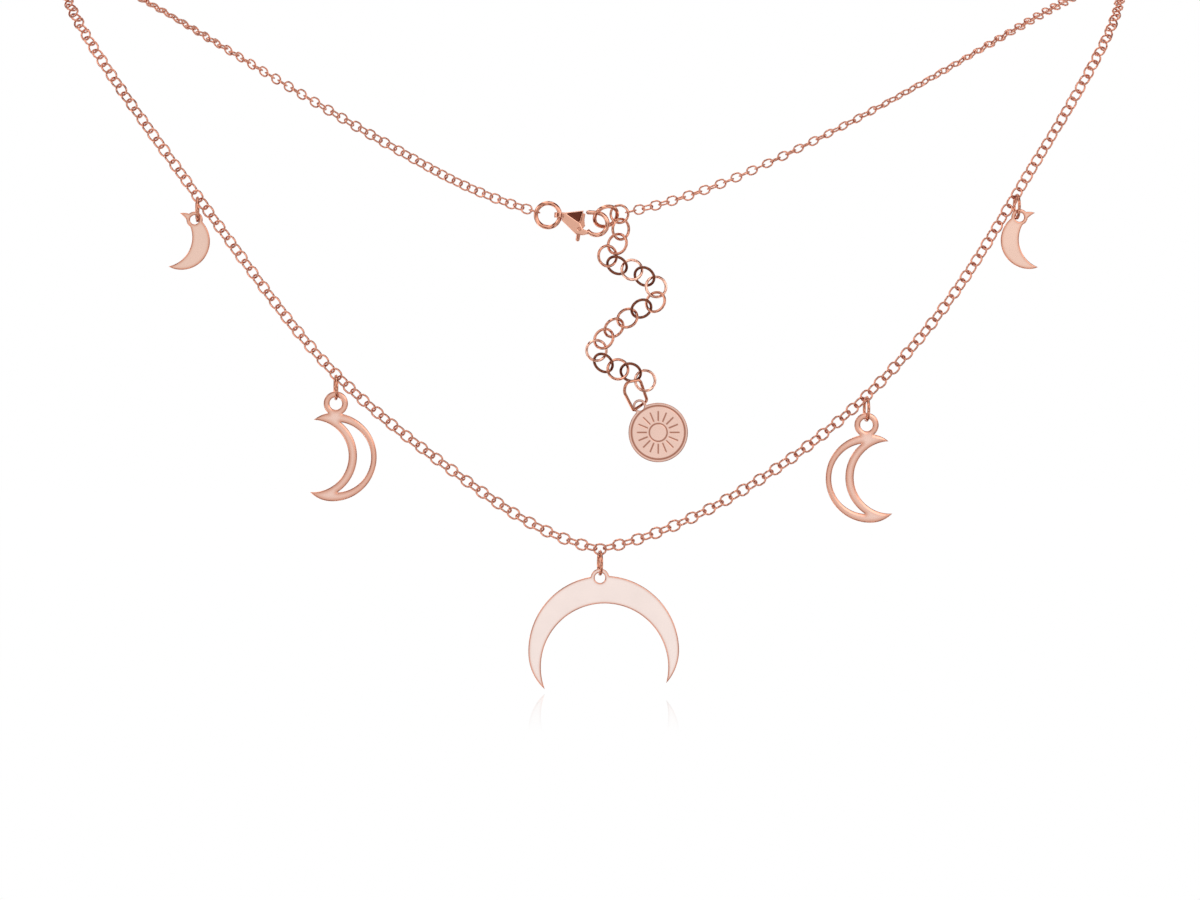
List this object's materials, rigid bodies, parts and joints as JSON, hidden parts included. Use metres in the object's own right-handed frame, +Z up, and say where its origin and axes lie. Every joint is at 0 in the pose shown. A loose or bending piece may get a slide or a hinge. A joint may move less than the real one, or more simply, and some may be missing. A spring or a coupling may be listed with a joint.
{
  "type": "pendant necklace",
  "caption": "Fine rolo-chain necklace with hanging crescent charms, a lobster clasp, and an extender chain ending in a round tag.",
  "frame": {"origin": "middle of the wearer's neck, level with the highest points of the chain at the sides of the neck", "axes": "+Z up, -Y out of the front of the necklace, +Y towards the nape, +X towards the wearer's left"},
  "size_m": [0.143, 0.0885, 0.0972],
  "materials": {
    "chain": "polished",
    "crescent_pale": "polished",
    "crescent_warm": "polished",
    "crescent_rose": "polished",
    "extender": "polished",
    "tag": "polished",
    "clasp": "polished",
    "jump_rings": "polished"
  },
  "bodies": {
    "neck_chain": {"chain_left_inner": "chain", "chain_left_middle": "chain", "chain_left_shoulder": "chain", "chain_left_nape": "chain", "chain_right_inner": "chain", "chain_right_middle": "chain", "chain_right_shoulder": "chain", "chain_right_nape": "chain"},
    "center_jump_ring": {"center_jump_ring": "jump_rings"},
    "center_crescent": {"center_crescent": "crescent_pale"},
    "left_medium_jump_ring": {"left_medium_jump_ring": "jump_rings"},
    "left_medium_crescent": {"left_medium_crescent": "crescent_warm"},
    "left_small_jump_ring": {"left_small_jump_ring": "jump_rings"},
    "left_small_crescent": {"left_small_crescent": "crescent_rose"},
    "right_medium_jump_ring": {"right_medium_jump_ring": "jump_rings"},
    "right_medium_crescent": {"right_medium_crescent": "crescent_warm"},
    "right_small_jump_ring": {"right_small_jump_ring": "jump_rings"},
    "right_small_crescent": {"right_small_crescent": "crescent_rose"},
    "left_end_ring": {"left_end_ring": "clasp"},
    "clasp": {"clasp_body": "clasp", "clasp_pin": "clasp", "clasp_spring": "clasp"},
    "clasp_lever": {"clasp_lever": "clasp"},
    "catch_ring": {"catch_ring": "clasp"},
    "connector_ring": {"connector_ring": "clasp"},
    "extender_link_01": {"extender_link_01": "extender"},
    "extender_link_02": {"extender_link_02": "extender"},
    "extender_link_03": {"extender_link_03": "extender"},
    "extender_link_04": {"extender_link_04": "extender"},
    "extender_link_05": {"extender_link_05": "extender"},
    "extender_link_06": {"extender_link_06": "extender"},
    "extender_link_07": {"extender_link_07": "extender"},
    "extender_link_08": {"extender_link_08": "extender"},
    "extender_link_09": {"extender_link_09": "extender"},
    "extender_link_10": {"extender_link_10": "extender"},
    "extender_link_11": {"extender_link_11": "extender"},
    "extender_link_12": {"extender_link_12": "extender"},
    "extender_link_13": {"extender_link_13": "extender"},
    "extender_link_14": {"extender_link_14": "extender"},
    "extender_link_15": {"extender_link_15": "extender"},
    "extender_link_16": {"extender_link_16": "extender"},
    "extender_link_17": {"extender_link_17": "extender"},
    "tag_ring": {"tag_ring": "tag"},
    "tag_disc": {"tag_disc": "tag"}
  },
  "joints": [
    {"name": "center_ring_swing", "type": "hinge", "parent": "neck_chain", "child": "center_jump_ring", "pos_m": [0, -0.0425, -0.07964], "axis": [0.9903, 0.1392, 0], "range_deg": [-35, 35]},
    {"name": "center_crescent_turn", "type": "hinge", "parent": "center_jump_ring", "child": "center_crescent", "pos_m": [0, -0.0425, -0.08226], "axis": [0, 1, 0], "range_deg": [-40, 40]},
    {"name": "left_medium_ring_swing", "type": "hinge", "parent": "neck_chain", "child": "left_medium_jump_ring", "pos_m": [-0.03434, -0.0425, -0.0569], "axis": [0.9903, 0.1392, 0], "range_deg": [-35, 20]},
    {"name": "left_medium_crescent_turn", "type": "hinge", "parent": "left_medium_jump_ring", "child": "left_medium_crescent", "pos_m": [-0.03434, -0.0425, -0.05946], "axis": [0, 1, 0], "range_deg": [-12, 45]},
    {"name": "left_small_ring_swing", "type": "hinge", "parent": "neck_chain", "child": "left_small_jump_ring", "pos_m": [-0.05235, -0.0425, -0.03374], "axis": [0.9903, 0.1392, 0], "range_deg": [-35, 15]},
    {"name": "left_small_crescent_turn", "type": "hinge", "parent": "left_small_jump_ring", "child": "left_small_crescent", "pos_m": [-0.05235, -0.0425, -0.0363], "axis": [0, 1, 0], "range_deg": [-18, 40]},
    {"name": "right_medium_ring_swing", "type": "hinge", "parent": "neck_chain", "child": "right_medium_jump_ring", "pos_m": [0.03465, -0.0425, -0.05969], "axis": [0.9903, 0.1392, 0], "range_deg": [-35, 35]},
    {"name": "right_medium_crescent_turn", "type": "hinge", "parent": "right_medium_jump_ring", "child": "right_medium_crescent", "pos_m": [0.03465, -0.0425, -0.06225], "axis": [0, 1, 0], "range_deg": [-45, 12]},
    {"name": "right_small_ring_swing", "type": "hinge", "parent": "neck_chain", "child": "right_small_jump_ring", "pos_m": [0.05418, -0.0425, -0.0334], "axis": [0.9903, 0.1392, 0], "range_deg": [-35, 15]},
    {"name": "right_small_crescent_turn", "type": "hinge", "parent": "right_small_jump_ring", "child": "right_small_crescent", "pos_m": [0.05418, -0.0425, -0.03596], "axis": [0, 1, 0], "range_deg": [-20, 0]},
    {"name": "left_end_ring_spin", "type": "hinge", "parent": "neck_chain", "child": "left_end_ring", "pos_m": [-0.0077, 0.0425, -0.03137], "axis": [0, 1, 0], "continuous": true},
    {"name": "clasp_roll", "type": "hinge", "parent": "neck_chain", "child": "clasp", "pos_m": [-0.00592, 0.0425, -0.03137], "axis": [0.9998, 0, -0.0175], "range_deg": [-14, 10]},
    {"name": "clasp_lever_press", "type": "hinge", "parent": "clasp", "child": "clasp_lever", "pos_m": [-0.00306, 0.0425, -0.03342], "axis": [0, 1, 0], "range_deg": [0, 20], "stiffness_Nm_per_rad": 0.002, "springref_deg": -11.46},
    {"name": "catch_ring_spin", "type": "hinge", "parent": "neck_chain", "child": "catch_ring", "pos_m": [0.00087, 0.04255, -0.03156], "axis": [-0.3351, 0.7432, 0.5791], "continuous": true},
    {"name": "connector_ring_spin", "type": "hinge", "parent": "neck_chain", "child": "connector_ring", "pos_m": [0.00288, 0.04261, -0.0312], "axis": [0.0872, 0.9962, 0], "continuous": true},
    {"name": "extender_link_01_turn", "type": "hinge", "parent": "neck_chain", "child": "extender_link_01", "pos_m": [0.00298, 0.0426, -0.03232], "axis": [0, 1, 0], "range_deg": [-10, 10]},
    {"name": "extender_link_02_turn", "type": "hinge", "parent": "extender_link_01", "child": "extender_link_02", "pos_m": [0.00282, 0.0426, -0.03454], "axis": [0, -1, 0], "range_deg": [-28, 40]},
    {"name": "extender_link_03_turn", "type": "hinge", "parent": "extender_link_02", "child": "extender_link_03", "pos_m": [0.00184, 0.0426, -0.03653], "axis": [0, 1, 0], "range_deg": [-6, 30]},
    {"name": "extender_link_04_turn", "type": "hinge", "parent": "extender_link_03", "child": "extender_link_04", "pos_m": [0.00182, 0.04254, -0.0381], "axis": [0, -1, 0], "range_deg": [-45, 12]},
    {"name": "extender_link_05_turn", "type": "hinge", "parent": "extender_link_04", "child": "extender_link_05", "pos_m": [0.00362, 0.04251, -0.03911], "axis": [0, 1, 0], "range_deg": [-40, 45]},
    {"name": "extender_link_06_turn", "type": "hinge", "parent": "extender_link_05", "child": "extender_link_06", "pos_m": [0.00565, 0.04251, -0.03994], "axis": [0, -1, 0], "range_deg": [-40, 50]},
    {"name": "extender_link_07_turn", "type": "hinge", "parent": "extender_link_06", "child": "extender_link_07", "pos_m": [0.00743, 0.04252, -0.0412], "axis": [0, 1, 0], "range_deg": [-55, 35]},
    {"name": "extender_link_08_turn", "type": "hinge", "parent": "extender_link_07", "child": "extender_link_08", "pos_m": [0.00825, 0.04252, -0.0431], "axis": [0, -1, 0], "range_deg": [-25, 50]},
    {"name": "extender_link_09_turn", "type": "hinge", "parent": "extender_link_08", "child": "extender_link_09", "pos_m": [0.00716, 0.04253, -0.04471], "axis": [0, 1, 0], "range_deg": [-45, 30]},
    {"name": "extender_link_10_turn", "type": "hinge", "parent": "extender_link_09", "child": "extender_link_10", "pos_m": [0.00509, 0.04254, -0.04589], "axis": [0, -1, 0], "range_deg": [-45, 45]},
    {"name": "extender_link_11_turn", "type": "hinge", "parent": "extender_link_10", "child": "extender_link_11", "pos_m": [0.00306, 0.04254, -0.04731], "axis": [0, 1, 0], "range_deg": [-45, 50]},
    {"name": "extender_link_12_turn", "type": "hinge", "parent": "extender_link_11", "child": "extender_link_12", "pos_m": [0.00132, 0.04253, -0.04884], "axis": [0, -1, 0], "range_deg": [-50, 40]},
    {"name": "extender_link_13_turn", "type": "hinge", "parent": "extender_link_12", "child": "extender_link_13", "pos_m": [0.00002, 0.04253, -0.05051], "axis": [0, 1, 0], "range_deg": [-30, 45]},
    {"name": "extender_link_14_turn", "type": "hinge", "parent": "extender_link_13", "child": "extender_link_14", "pos_m": [-0.00001, 0.04253, -0.0523], "axis": [0, -1, 0], "range_deg": [-50, 25]},
    {"name": "extender_link_15_turn", "type": "hinge", "parent": "extender_link_14", "child": "extender_link_15", "pos_m": [0.00157, 0.0425, -0.05369], "axis": [0, 1, 0], "range_deg": [-35, 50]},
    {"name": "extender_link_16_turn", "type": "hinge", "parent": "extender_link_15", "child": "extender_link_16", "pos_m": [0.0036, 0.04249, -0.05439], "axis": [0, -1, 0], "range_deg": [-40, 50]},
    {"name": "extender_link_17_turn", "type": "hinge", "parent": "extender_link_16", "child": "extender_link_17", "pos_m": [0.00561, 0.04252, -0.05522], "axis": [0, 1, 0], "range_deg": [-35, 20]},
    {"name": "tag_ring_turn", "type": "hinge", "parent": "extender_link_17", "child": "tag_ring", "pos_m": [0.00581, 0.04249, -0.05697], "axis": [0, -1, 0], "range_deg": [-35, 5]},
    {"name": "tag_disc_turn", "type": "hinge", "parent": "tag_ring", "child": "tag_disc", "pos_m": [0.00586, 0.04309, -0.05962], "axis": [0, 1, 0], "range_deg": [-20, 20]}
  ]
}
